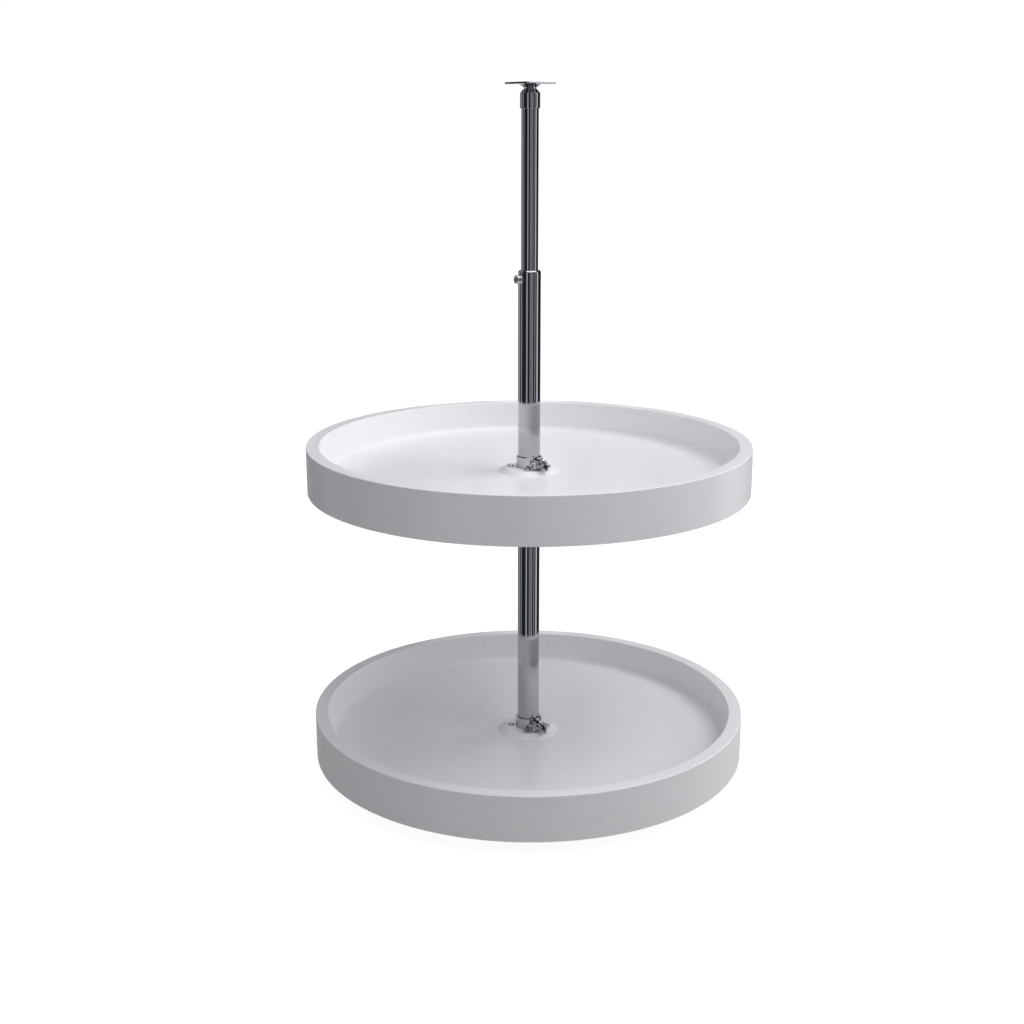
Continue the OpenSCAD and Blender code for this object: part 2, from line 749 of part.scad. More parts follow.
base_plate();
base_pivot_pin();
race(race_z);  // lower_race
ball_cage();
bearing_balls();
race(upper_race_z);  // upper_race
post_end_plug();
outer_tube();
guide_bush();
lock_insert();
lock_washer();
lock_screw();
inner_tube();
slide_bush();
top_cap();
top_bush();
top_plate();
top_pivot_pin();
tray(lower_z);  // lower_tray
hub(lower_z);  // lower_hub
hub_screws(lower_z);  // lower_hub_screws
set_screw(lower_z);  // lower_set_screw
clamp_nut(lower_z);  // lower_clamp_nut
clamp_washer(lower_z);  // lower_clamp_washer
clamp_bolt(lower_z);  // lower_clamp_bolt
tray(upper_z);  // upper_tray
hub(upper_z);  // upper_hub
hub_screws(upper_z);  // upper_hub_screws
set_screw(upper_z);  // upper_set_screw
clamp_nut(upper_z);  // upper_clamp_nut
clamp_washer(upper_z);  // upper_clamp_washer
clamp_bolt(upper_z);  // upper_clamp_bolt
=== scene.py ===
"""Looks of a two-tier rotating pantry tray unit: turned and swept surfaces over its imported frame.

Sections follow the unit as it is put together, from the cabinet's floor up. Lengths are in
millimetres and become metres where a piece is made. Each section's sizes come from the frame
where it has them.
"""

import math

import bmesh
import bpy
import numpy as np
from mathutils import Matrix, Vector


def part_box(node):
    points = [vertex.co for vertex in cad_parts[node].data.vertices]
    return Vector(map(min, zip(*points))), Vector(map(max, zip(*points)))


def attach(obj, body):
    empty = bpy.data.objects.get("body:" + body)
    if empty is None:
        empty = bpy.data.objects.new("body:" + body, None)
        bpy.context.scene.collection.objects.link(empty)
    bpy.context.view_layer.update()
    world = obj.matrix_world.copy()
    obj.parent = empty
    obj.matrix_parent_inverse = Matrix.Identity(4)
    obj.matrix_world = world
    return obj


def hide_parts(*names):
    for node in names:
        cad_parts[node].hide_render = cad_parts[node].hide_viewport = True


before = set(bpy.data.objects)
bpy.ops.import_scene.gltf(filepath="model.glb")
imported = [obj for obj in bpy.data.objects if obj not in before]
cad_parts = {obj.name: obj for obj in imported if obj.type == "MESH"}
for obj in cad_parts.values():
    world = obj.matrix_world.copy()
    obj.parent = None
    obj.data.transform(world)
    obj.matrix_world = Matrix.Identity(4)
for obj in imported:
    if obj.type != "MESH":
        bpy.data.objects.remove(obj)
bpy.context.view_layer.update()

# ---- Floor plate ----
# Square steel pressing, chromium plated, screwed to the cabinet's floor through a countersunk
# hole in each corner. The whole unit turns on the pivot pin that stands in its middle.
MM = 0.001
TURN_STEPS = 240            # columns of a turned surface, so that 4, 6 and 10 divide it
SHARP_ANGLE = 32.0          # faces that meet at more degrees than this keep a crisp edge
MERGE = 0.0004              # points closer than this are one point


def node_box(name):
    """Lowest and highest corner of a CAD node, in millimetres."""
    return [np.array(corner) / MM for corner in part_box(name)]


def patch(points, ring=False):
    """Quads over a grid of points (rows, columns, 3): (i, j), (i, j + 1), (i + 1, j + 1) and
    (i + 1, j). The last column joins the first, and with ring the last row joins the first."""
    rows, columns = points.shape[:2]
    here = np.arange(rows * columns).reshape(rows, columns)
    if ring:
        here = np.vstack([here, here[:1]])
    beside = np.roll(here, -1, axis=1)
    quads = np.stack([here[:-1], beside[:-1], beside[1:], here[1:]], axis=-1)
    return points.reshape(-1, 3), quads.reshape(-1, 4)


def angles(steps=TURN_STEPS):
    """Equal angles round one turn, in radians."""
    return np.arange(steps) * 2 * np.pi / steps


def turned(layers, ring=False, steps=TURN_STEPS):
    """Surface about Z through level outlines (r, z): x = r cos t, y = r sin t for each angle t.
    A radius r is one number, or one number for each angle."""
    t = angles(steps)
    r = np.array([np.broadcast_to(radius, steps) for radius, _ in layers])
    z = np.array([np.broadcast_to(height, steps) for _, height in layers])
    return patch(np.stack([r * np.cos(t), r * np.sin(t), z], axis=-1), ring)


def sector_face(z, rim, bore, hole, hole_at, count=4, side_steps=14, rows=5):
    """Flat sector, 1/count of a turn about +X, with a round hole. Row 0 is the hole's edge and
    the last row the sector's boundary; each point goes straight from one to the other in angle
    and radius. rim gives the outer radius at an angle."""
    arc = np.linspace(-np.pi / count, np.pi / count, TURN_STEPS // count + 1)
    side = np.linspace(0, 1, side_steps + 2)[1:-1]
    outer = rim(arc)
    edge_angle = np.concatenate([arc, np.full(side_steps, arc[-1]),
                                 arc[::-1], np.full(side_steps, arc[0])])
    edge_radius = np.concatenate([outer, outer[-1] + (bore - outer[-1]) * side,
                                  np.full(arc.shape, bore), bore + (outer[0] - bore) * side])
    toward = np.arctan2(edge_radius * np.sin(edge_angle),
                        edge_radius * np.cos(edge_angle) - hole_at)
    x, y = hole_at + hole * np.cos(toward), hole * np.sin(toward)
    share = np.linspace(0, 1, rows)[:, None]
    angle = np.arctan2(y, x) * (1 - share) + edge_angle * share
    radius = np.hypot(x, y) * (1 - share) + edge_radius * share
    return np.stack([radius * np.cos(angle), radius * np.sin(angle), np.full(angle.shape, z)], -1)


def pierced(faces):
    """One patch round a pierced plate: over its first face to the hole's edge, through the edges
    of the faces between, and out over its last face."""
    between = [face[:1] for face in faces[1:-1]]
    return patch(np.concatenate([faces[0][::-1], *between, faces[-1]]))


def copies(shell, count, first=0.0):
    """A shell and its copies at equal angles about Z, the first turned by first degrees."""
    points, quads = shell
    a = math.radians(first) + angles(count)
    turn = np.stack([np.cos(a), -np.sin(a), 0 * a, np.sin(a), np.cos(a), 0 * a,
                     0 * a, 0 * a, 1 + 0 * a], axis=-1).reshape(count, 3, 3)
    return (np.einsum("cij,pj->cpi", turn, points).reshape(-1, 3),
            (quads + len(points) * np.arange(count)[:, None, None]).reshape(-1, 4))


def piece(name, shells, body, replaced, finish):
    """One object of closed shells in millimetres. Doubles are merged and faces turned outwards;
    faces that meet gently are shaded as one, by the larger face's direction."""
    starts = np.cumsum([0] + [len(points) for points, _ in shells])
    points = np.concatenate([points for points, _ in shells]) * MM
    quads = np.concatenate([quads + start for (_, quads), start in zip(shells, starts)])
    mesh = bpy.data.meshes.new(name)
    mesh.from_pydata(points.tolist(), [], quads.tolist())
    work = bmesh.new()
    work.from_mesh(mesh)
    bmesh.ops.remove_doubles(work, verts=work.verts, dist=MERGE * MM)
    bmesh.ops.recalc_face_normals(work, faces=work.faces)
    work.to_mesh(mesh)
    work.free()
    mesh.shade_smooth()
    mesh.set_sharp_from_angle(angle=math.radians(SHARP_ANGLE))
    mesh.materials.append(finish)
    made = bpy.data.objects.new(name, mesh)
    bpy.context.scene.collection.objects.link(made)
    made.modifiers.new("even_shading", "WEIGHTED_NORMAL").keep_sharp = True
    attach(made, body)
    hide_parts(*replaced)


def linear(hex_colour):
    """sRGB hex colour as linear RGBA: v / 12.92 up to 0.04045, else ((v + 0.055) / 1.055)^2.4."""
    v = np.array([int(hex_colour[i:i + 2], 16) for i in (1, 3, 5)]) / 255
    rgb = np.where(v <= 0.04045, v / 12.92, ((v + 0.055) / 1.055) ** 2.4)
    return (*rgb.tolist(), 1.0)


def add(tree, kind, sockets=None, **settings):
    """Adds one shader node: settings are its properties, and sockets maps an input to a value
    or to (node, output), which is linked."""
    made = tree.nodes.new("ShaderNode" + kind)
    for key, value in settings.items():
        setattr(made, key, value)
    for key, value in (sockets or {}).items():
        if isinstance(value, tuple) and isinstance(value[0], bpy.types.Node):
            tree.links.new(value[0].outputs[value[1]], made.inputs[key])
        else:
            made.inputs[key].default_value = value
    return made


def new_finish(name, colour, roughness, **plain):
    """A material with its shader's plain values set. Returns it with its tree, its shader and
    its Object coordinates, as add() takes them."""
    made = bpy.data.materials.new(name)
    made.use_nodes = True
    tree = made.node_tree
    shader = tree.nodes["Principled BSDF"]
    values = {"Base Color": linear(colour), "Roughness": roughness, **plain}
    for key, value in values.items():
        shader.inputs[key].default_value = value
    return made, tree, shader, (add(tree, "TexCoord"), "Object")


def link_finish(tree, shader, rough, bump, tint=None):
    """Joins a finish's patterns to its shader: roughness, bump and, where it varies, colour."""
    tree.links.new(rough.outputs["Result"], shader.inputs["Roughness"])
    tree.links.new(bump.outputs["Normal"], shader.inputs["Normal"])
    if tint:
        tree.links.new(tint.outputs[2], shader.inputs["Base Color"])


def chromium_on_pressing():
    """Bright chromium over nickel on a steel pressing: a mirror whose sheet still shows the
    faint long waves of the press, with a little haze where polishing was lighter."""
    wave, haze = 9.0, 2.0                # millimetres
    made, tree, shader, place = new_finish("chromium_on_pressing", "#b8b9ba", 0.06, Metallic=1.0)
    waves = add(tree, "TexNoise", {"Vector": place, "Scale": 1 / (wave * MM), "Detail": 1.0})
    hazes = add(tree, "TexNoise", {"Vector": place, "Scale": 1 / (haze * MM), "Detail": 3.0})
    rough = add(tree, "MapRange", {"Value": (hazes, "Fac"), "From Min": 0.3, "From Max": 0.7,
                                   "To Min": 0.035, "To Max": 0.085})
    bump = add(tree, "Bump", {"Height": (waves, "Fac"), "Strength": 0.1, "Distance": 0.02 * MM})
    link_finish(tree, shader, rough, bump)
    return made


def square_rim(inset=0.0, reach=1.0, corner=1.0):
    """Radius of a rounded square with its corners on the axes, at an angle a from the nearest
    corner: on the corner's arc d cos a + sqrt(corner^2 - d^2 sin^2 a), on the sides
    (d / sqrt 2 + corner) / cos(45 - a), where d = reach - corner."""
    def radius(angle):
        a = np.abs((angle + np.pi / 4) % (np.pi / 2) - np.pi / 4)
        d, c = reach - corner, corner - inset
        arc = d * np.cos(a) + np.sqrt(np.maximum(c ** 2 - (d * np.sin(a)) ** 2, 0))
        side = (d / math.sqrt(2) + c) / np.cos(np.pi / 4 - a)
        return np.where(a < math.atan2(c, d * math.sqrt(2) + c), arc, side)
    return radius


def wall_layers(rim, edge, z, top):
    """Outlines down a plate's rounded edge, from its upper face to its lower face: the inset is
    edge (1 - cos a) and the drop edge (1 - sin a) on each quarter arc."""
    a = np.linspace(0, np.pi / 2, 5)
    inset, drop = edge * (1 - np.cos(a)), edge * (1 - np.sin(a))
    t = angles()
    return ([(rim(i)(t), top - d) for i, d in zip(inset[::-1], drop[::-1])]
            + [(rim(i)(t), z + d) for i, d in zip(inset, drop)])


chromed_pressing = chromium_on_pressing()
plate_high = node_box("base_plate")[1]
plate_corner, plate_edge = 6.0, 0.5
plate_hole, plate_hole_at, plate_sink = 2.75, 40.0, 1.8
pin_high = node_box("base_pivot_pin")[1]
pin_radius = pin_high[0]


def base_rim(inset):
    """Outline of the floor plate, moved in by inset."""
    return square_rim(inset, plate_high[0], plate_corner)


base_faces = [sector_face(z, base_rim(plate_edge), pin_radius, hole, plate_hole_at) for z, hole in (
    (0, plate_hole), (plate_high[2] - plate_sink, plate_hole),
    (plate_high[2], plate_hole + plate_sink))]
piece(
    "floor_plate_pressing",
    [copies(pierced(base_faces), 4),
     turned(wall_layers(base_rim, plate_edge, 0, plate_high[2])),
     turned([(pin_radius, plate_high[2]), (pin_radius, 0)])],
    "base", ["base_plate"], chromed_pressing)

# ---- Floor pivot pin ----
# Ground steel pin, riveted flush in the plate. The post's end plug turns on it, so it is ground
# round its length and its tip is bevelled to lead the plug on.


def rounded(corners, steps=5):
    """Closed outline through corners (x, y, radius). Each corner is an arc of its radius about
    the point that lies radius / sin(half the corner's angle) along the corner's bisector."""
    corners = np.array(corners, float)
    at, radius = corners[:, :2], corners[:, 2:]
    back, on = np.roll(at, 1, axis=0) - at, np.roll(at, -1, axis=0) - at
    back /= np.linalg.norm(back, axis=1, keepdims=True)
    on /= np.linalg.norm(on, axis=1, keepdims=True)
    half = np.arccos(np.clip((back * on).sum(axis=1, keepdims=True), -1, 1)) / 2
    bisector = (back + on) / np.linalg.norm(back + on, axis=1, keepdims=True)
    centre = at + bisector * radius / np.sin(half)
    start = at + back * radius / np.tan(half) - centre
    end = at + on * radius / np.tan(half) - centre
    share, sweep = np.linspace(0, 1, steps + 1), np.pi - 2 * half[:, :, None]
    blend = [np.sin(part * sweep) / np.sin(sweep) for part in (1 - share, share)]
    arcs = [weight.transpose(0, 2, 1) * side[:, None] for weight, side in zip(blend, (start, end))]
    return (centre[:, None] + arcs[0] + arcs[1]).reshape(-1, 2)


def ground_bearing_steel():
    """Hardened steel, ground and lapped: the wheel leaves fine rings round the turning axis,
    0.12 mm apart in truth and drawn 0.4 mm apart so that they show, in a bright grey."""
    ring_apart, cloud = 0.4, 3.0         # millimetres
    made, tree, shader, place = new_finish("ground_bearing_steel", "#b9bbbd", 0.16, Metallic=1.0)
    rings = add(tree, "TexWave",
                {"Vector": place, "Scale": math.pi / 10 / (ring_apart * MM),
                 "Distortion": 1.5, "Detail": 2.0}, wave_type="BANDS", bands_direction="Z")
    clouds = add(tree, "TexNoise", {"Vector": place, "Scale": 1 / (cloud * MM)})
    rough = add(tree, "MapRange", {"Value": (clouds, "Fac"), "To Min": 0.10, "To Max": 0.24})
    bump = add(tree, "Bump", {"Height": (rings, "Fac"), "Strength": 0.2, "Distance": 0.01 * MM})
    link_finish(tree, shader, rough, bump)
    return made


ground_steel = ground_bearing_steel()
pin_bevel, pin_round = 1.2, 0.3
piece(
    "floor_pivot",
    [turned(rounded([
        (0, 0, 0), (pin_radius, 0, 0), (pin_radius, pin_high[2] - pin_bevel, pin_round),
        (pin_radius - pin_bevel, pin_high[2], pin_round), (0, pin_high[2], 0)]))],
    "base", ["base_pivot_pin"], ground_steel)

# ---- Thrust bearing ----
# Two grooved rings of ground steel, with ten balls between them that a stamped brass cage
# spaces. The lower ring rests on the floor plate and the upper one carries the post's plug.
play, press = 0.06, 0.02     # gaps round a part that moves, and at one that is pressed home
race_edge, groove_play = 0.25, 0.02
ball_low, ball_high = node_box("bearing_balls")
cage_low, cage_high = node_box("ball_cage")
ball_count = 10
ball_radius = (ball_high[2] - ball_low[2]) / 2
ball_ring = ball_high[0] - ball_radius
ball_z = (ball_high[2] + ball_low[2]) / 2


def moved(shell, x=0.0, y=0.0, z=0.0):
    """A shell moved by (x, y, z)."""
    return shell[0] + np.array([x, y, z]), shell[1]


def race_section(node_name, groove_up):
    """Section of a bearing ring: a rectangle with a round groove for the balls in one face."""
    low, high = node_box(node_name)
    inner, outer = 2 * ball_ring - high[0], high[0]
    open_z, back_z = (high[2], low[2]) if groove_up else (low[2], high[2])
    r = ball_radius + groove_play
    half = math.acos(abs(ball_z - open_z) / r)
    down = -np.pi / 2 if groove_up else np.pi / 2
    a = down + np.linspace(half, -half, 13) * (1 if groove_up else -1)
    body = rounded([(outer, open_z, race_edge), (outer, back_z, race_edge),
                    (inner, back_z, race_edge), (inner, open_z, race_edge)])
    track = np.stack([ball_ring + r * np.cos(a), ball_z + r * np.sin(a)], -1)
    return np.vstack([body, track[::-1]])


for side, body, groove_up in (("lower", "base", True), ("upper", "post", False)):
    piece(f"{side}_bearing_ring", [turned(race_section(f"{side}_race", groove_up), ring=True)],
          body, [f"{side}_race"], ground_steel)


def tumbled_brass():
    """Stamped sheet brass, tumbled to take off its burrs: a warm yellow with a satin haze and
    short scratches in every direction."""
    scratch, cloud = 0.5, 2.5            # millimetres
    made, tree, shader, place = new_finish("tumbled_brass", "#d9b45f", 0.3, Metallic=1.0)
    clouds = add(tree, "TexNoise", {"Vector": place, "Scale": 1 / (cloud * MM), "Detail": 3.0})
    tint = add(tree, "Mix", {0: (clouds, "Fac"), 6: linear("#e2bf6c"), 7: linear("#c79d48")},
               data_type="RGBA")
    scratches = add(tree, "TexVoronoi", {"Vector": place, "Scale": 1 / (scratch * MM)},
                    feature="DISTANCE_TO_EDGE")
    rough = add(tree, "MapRange", {"Value": (clouds, "Fac"), "To Min": 0.22, "To Max": 0.42})
    bump = add(tree, "Bump", {"Height": (scratches, "Distance"), "Strength": 0.25,
                              "Distance": 0.02 * MM})
    link_finish(tree, shader, rough, bump, tint)
    return made


def round_rim(radius):
    """A round outline: the same radius at each angle."""
    return lambda angle: np.full(np.shape(angle), radius)


def cage_rim(inset):
    """Outline of the cage, moved in by inset."""
    return round_rim(cage_high[0] - inset)


brass = tumbled_brass()
pocket = ball_radius + play
cage_inner = 2 * ball_ring - cage_high[0]
cage_edge = 0.2
cage_faces = [sector_face(z, cage_rim(cage_edge), cage_inner, pocket, ball_ring, ball_count,
                          side_steps=6, rows=3)
              for z in (cage_low[2], cage_high[2])]
piece(
    "stamped_cage",
    [copies(pierced(cage_faces), ball_count),
     turned(wall_layers(cage_rim, cage_edge, cage_low[2], cage_high[2])),
     turned([(cage_inner, cage_high[2]), (cage_inner, cage_low[2])])],
    "bearing", ["ball_cage"], brass)

up = np.linspace(0, np.pi, 25)            # from pole to pole
ball = turned(np.stack([ball_radius * np.sin(up), -ball_radius * np.cos(up)], -1), steps=48)
piece("bearing_ball_set", [copies(moved(ball, x=ball_ring, z=ball_z), ball_count)],
      "bearing", ["bearing_balls"], ground_steel)

# ---- Post's end plug ----
# Natural nylon moulding pressed into the outer tube's foot. Its flange stands on the bearing,
# and its bore turns on the floor pivot pin.


def moulded_nylon():
    """Natural nylon as it comes from the mould: milky, a little yellow, with a dull sheen and a
    shallow texture of moisture and flow."""
    grain, cloud = 0.7, 8.0              # millimetres
    made, tree, shader, place = new_finish("moulded_nylon", "#ebe6d6", 0.48, IOR=1.53,
                                           **{"Subsurface Weight": 0.12})
    shader.inputs["Subsurface Radius"].default_value = (2 * MM, 1.6 * MM, 1.1 * MM)
    clouds = add(tree, "TexNoise", {"Vector": place, "Scale": 1 / (cloud * MM), "Detail": 2.0})
    grains = add(tree, "TexNoise", {"Vector": place, "Scale": 1 / (grain * MM), "Detail": 2.0})
    tint = add(tree, "Mix", {0: (clouds, "Fac"), 6: linear("#f1eddf"), 7: linear("#e4ddc9")},
               data_type="RGBA")
    rough = add(tree, "MapRange", {"Value": (clouds, "Fac"), "To Min": 0.42, "To Max": 0.58})
    bump = add(tree, "Bump", {"Height": (grains, "Fac"), "Strength": 0.3, "Distance": 0.03 * MM})
    link_finish(tree, shader, rough, bump, tint)
    return made


nylon = moulded_nylon()
plug_low, plug_high = node_box("post_end_plug")
tube_low, tube_high = node_box("outer_tube")
tube_radius, tube_wall = tube_high[0], 1.2
plug_radius = tube_radius - tube_wall - press
plug_bore, plug_cap = pin_radius + play, 4.0
plug_flange_top = tube_low[2]
piece(
    "moulded_end_plug",
    [turned(rounded([
        (0, plug_high[2], 0), (plug_radius, plug_high[2], 0.8), (plug_radius, plug_flange_top, 0),
        (plug_high[0], plug_flange_top, 0.4), (plug_high[0], plug_low[2], 0.4),
        (plug_bore, plug_low[2], 0.3), (plug_bore, plug_high[2] - plug_cap, 0),
        (0, plug_high[2] - plug_cap, 0)]))],
    "post", ["post_end_plug"], nylon)

# ---- Outer tube ----
# Welded and drawn steel tube, one inch across, chromium plated. Its mouth is rolled in until it
# almost meets the inner tube, which leaves a round shoulder.


def chromium_on_drawn_tube():
    """Bright chromium on drawn tube: a mirror with hair-fine draw lines along the tube, 0.3 mm
    apart and some 60 mm long, that only just soften what it reflects."""
    line, length = 0.3, 60.0             # millimetres
    made, tree, shader, place = new_finish("chromium_on_drawn_tube", "#b8b9ba", 0.05, Metallic=1.0)
    along = add(tree, "Mapping", {"Vector": place,
                                  "Scale": (1 / (line * MM), 1 / (line * MM), 1 / (length * MM))})
    lines = add(tree, "TexNoise", {"Vector": (along, "Vector"), "Scale": 1.0, "Detail": 2.0})
    rough = add(tree, "MapRange", {"Value": (lines, "Fac"), "From Min": 0.3, "From Max": 0.7,
                                   "To Min": 0.03, "To Max": 0.06})
    bump = add(tree, "Bump", {"Height": (lines, "Fac"), "Strength": 0.03, "Distance": 0.002 * MM})
    link_finish(tree, shader, rough, bump)
    return made


chromed_tube = chromium_on_drawn_tube()
inner_radius, inner_wall = 19.05 / 2, 1.2
mouth_radius = inner_radius + 0.25
roll = tube_radius - mouth_radius
quarter = np.linspace(0, np.pi / 2, 13)
rolled_out = np.stack([mouth_radius + roll * np.cos(quarter),
                       tube_high[2] - roll + roll * np.sin(quarter)], -1)
rolled_in = np.stack([mouth_radius + (roll - tube_wall) * np.cos(quarter),
                      tube_high[2] - roll + (roll - tube_wall) * np.sin(quarter)], -1)[::-1]
foot_reach, tube_edge = 5.0, 0.2
tube_foot = rounded([(tube_radius - tube_wall, tube_low[2] + foot_reach, 0),
                     (tube_radius - tube_wall, tube_low[2], tube_edge),
                     (tube_radius, tube_low[2], tube_edge),
                     (tube_radius, tube_low[2] + foot_reach, 0)])
piece("drawn_outer_tube", [turned(np.vstack([tube_foot, rolled_out, rolled_in]), ring=True)],
      "post", ["outer_tube"], chromed_tube)

# ---- Bushes ----
# Moulded nylon bushes in the outer tube's mouth, on the inner tube's lower end and in the cap's
# neck. They are hidden in the post, so their own solids are kept and only get their finish.
for bush in ("guide_bush", "slide_bush", "top_bush"):
    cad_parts[bush].material_slots[0].material = nylon

# ---- Inner tube ----
# Drawn steel tube, three quarters of an inch across, chromium plated. It telescopes in the outer
# tube, and its top end is pressed into the cap.
inner_low, inner_high = node_box("inner_tube")
inner_bore = inner_radius - inner_wall
inner_section = rounded([(r, z, tube_edge) for r, z in (
    (inner_radius, inner_low[2]), (inner_radius, inner_high[2]),
    (inner_bore, inner_high[2]), (inner_bore, inner_low[2]))])
piece("drawn_inner_tube", [turned(inner_section, ring=True)],
      "upper_post", ["inner_tube"], chromed_tube)

# ---- Height lock ----
# Threaded insert with a saddle flange on the outer tube, a washer, and a round-headed socket
# screw that presses on the inner tube. All three are steel with a bright zinc plate.


def bright_zinc_plate():
    """Clear-passivated zinc on small steel screws: a bright, cool grey with a soft haze that
    changes in patches, and a hint of blue."""
    cloud, grain = 1.6, 0.25             # millimetres
    made, tree, shader, place = new_finish("bright_zinc_plate", "#d2d3d5", 0.22, Metallic=1.0)
    clouds = add(tree, "TexNoise", {"Vector": place, "Scale": 1 / (cloud * MM), "Detail": 2.0})
    grains = add(tree, "TexNoise", {"Vector": place, "Scale": 1 / (grain * MM)})
    tint = add(tree, "Mix", {0: (clouds, "Fac"), 6: linear("#dadbdd"), 7: linear("#c9cbce")},
               data_type="RGBA")
    rough = add(tree, "MapRange", {"Value": (clouds, "Fac"), "To Min": 0.16, "To Max": 0.28})
    bump = add(tree, "Bump", {"Height": (grains, "Fac"), "Strength": 0.12, "Distance": 0.01 * MM})
    link_finish(tree, shader, rough, bump, tint)
    return made


SMALL_STEPS = 96            # columns of a small part's turned surface


def hexagon(flats, steps=TURN_STEPS):
    """Radius of a hexagon at each angle: half its flats over the cosine from a flat's middle."""
    return flats / 2 / np.cos((angles(steps) + np.pi / 6) % (np.pi / 3) - np.pi / 6)


def thread(radius, pitch, foot, top, bevel, steps):
    """Outlines up a screw thread: the radius falls by 0.3 pitch and rises again once a pitch,
    along a helix, and the foot is bevelled."""
    z = np.arange(foot, top, pitch / 8)
    turn = (z[:, None] / pitch - angles(steps) / (2 * np.pi)) % 1
    r = radius - 0.6 * pitch * np.abs(turn - 0.5)
    r = np.minimum(r, radius - bevel + (z - foot)[:, None])
    return [(0, foot)] + list(zip(r, z)) + [(radius - 0.3 * pitch, top)]


def socket_screw(radius, pitch, shank, head_radius, head_height, dome, flats, socket, knurl=0.0):
    """A screw with a hexagon socket, head up from 0: threaded shank, the head's seat, its
    rounded edge, and the socket with a bevelled mouth and a conical floor. A knurl is 40 ridges
    down the head's side, where the radius falls by knurl between two crests."""
    seat_edge, ridges, mouth_wide, mouth_deep, cone = 0.2, 40, 0.5, 0.3, 0.8
    side = rounded([(0, 0, 0), (head_radius, 0, seat_edge), (head_radius, head_height, dome),
                    (0, head_height, 0)])
    ridge = np.abs((angles() * ridges / (2 * np.pi)) % 1 - 0.5) * 2 * knurl
    recess = [(hexagon(flats + mouth_wide), head_height),
              (hexagon(flats), head_height - mouth_deep),
              (hexagon(flats), head_height - socket), (0, head_height - socket - cone)]
    outer = [(r - ridge * (r > head_radius - seat_edge / 2), z) for r, z in side if r > 0]
    return turned(thread(radius, pitch, -shank, 0, radius / 5, TURN_STEPS) + outer + recess)


def aimed(shell, at, x_axis, y_axis, z_axis):
    """A shell whose own X, Y and Z axes are laid along three directions, with its origin at at."""
    return shell[0] @ np.array([x_axis, y_axis, z_axis]) + np.array(at), shell[1]


def radial(shell, degrees, z):
    """A shell stood on the post's axis at height z, its own Z pointing out at an angle from +X."""
    c, s = math.cos(math.radians(degrees)), math.sin(math.radians(degrees))
    return aimed(shell, (0, 0, z), (0, 0, -1), (-s, c, 0), (c, s, 0))


washer, washer_play = 0.8, 0.25


def stamped_washer(outer, screw, foot):
    """A washer for a screw's radius, up from foot, its upper outer edge rounded by the punch."""
    bore, top = screw + washer_play, foot + washer
    return turned(rounded([(outer, foot, 0.15), (outer, top, 0.25), (bore, top, 0.1),
                           (bore, foot, 0.1)]), ring=True, steps=SMALL_STEPS)


zinc = bright_zinc_plate()
lock_angle, lock_z = -146.0, tube_high[2] - 10
lock_radius, lock_pitch = 3.0, 1.0
lock_head_radius, lock_head_height = 5.0, 4.6
insert_radius, insert_flange, insert_in, insert_out = 4.26, 5.0, 10.125, 13.6
flange_in = 11.6                         # the flange's saddle is let into the tube's wall
lock_seat = insert_out + washer
piece(
    "saddle_insert",
    [radial(turned(rounded([
        (lock_radius + play, insert_in, 0.2), (insert_radius, insert_in, 0.2),
        (insert_radius, flange_in, 0), (insert_flange, flange_in, 0),
        (insert_flange, insert_out, 0.35), (lock_radius + play, insert_out, 0.3)]),
        ring=True, steps=SMALL_STEPS), lock_angle, lock_z)],
    "post", ["lock_insert"], zinc)
piece(
    "insert_washer",
    [radial(stamped_washer(lock_head_radius, lock_radius, insert_out), lock_angle, lock_z)],
    "post", ["lock_washer"], zinc)
lock_shank = lock_seat - inner_radius - play
piece(
    "socket_lock_screw",
    [radial(moved(socket_screw(lock_radius, lock_pitch, lock_shank, lock_head_radius,
                               lock_head_height, 2.0, 4.8, 2.3), z=lock_seat), lock_angle, lock_z)],
    "lock", ["lock_screw"], zinc)

# ---- Cap ----
# Deep-drawn steel sleeve over the inner tube's top end, chromium plated. Its shoulder slopes up
# to the neck that holds the nylon bush of the ceiling pivot.
cap_low, cap_high = node_box("top_cap")
cap_radius, cap_bore = cap_high[0], inner_radius + press
neck_bore, neck_radius = 5.38, 6.58
shoulder_z = cap_high[2] - 4.8
seat_z = inner_high[2]
piece(
    "drawn_cap",
    [turned(rounded([
        (neck_bore, seat_z, 0.2), (cap_bore, seat_z, 0.2), (cap_bore, cap_low[2], 0.2),
        (cap_radius, cap_low[2], 0.45), (cap_radius, shoulder_z, 0.4),
        (neck_radius, cap_high[2], 0.3), (neck_bore, cap_high[2], 0.2)]), ring=True)],
    "upper_post", ["top_cap"], chromed_pressing)

# ---- Ceiling plate ----
# Small square pressing with a trumpet drawn down from its middle, chromium plated. Four screws
# go up through its countersunk corners into the cabinet's top panel.
roof_low, roof_high = node_box("top_plate")
roof_t, roof_corner, roof_edge, roof_turn = 2.0, 2.0, 0.35, -5.0
roof_reach = (roof_high[0] - roof_corner) / math.cos(math.radians(roof_turn)) + roof_corner
roof_under = roof_high[2] - roof_t
roof_hole, roof_hole_at, roof_sink = 2.25, 20.0, 1.2
flare_radius, flare_angle = 16.0, math.radians(45)
roof_pin_low, roof_pin_high = node_box("top_pivot_pin")
roof_pin_radius = roof_pin_high[0]


def roof_rim(inset):
    """Outline of the ceiling plate, moved in by inset."""
    return square_rim(inset, roof_reach, roof_corner)


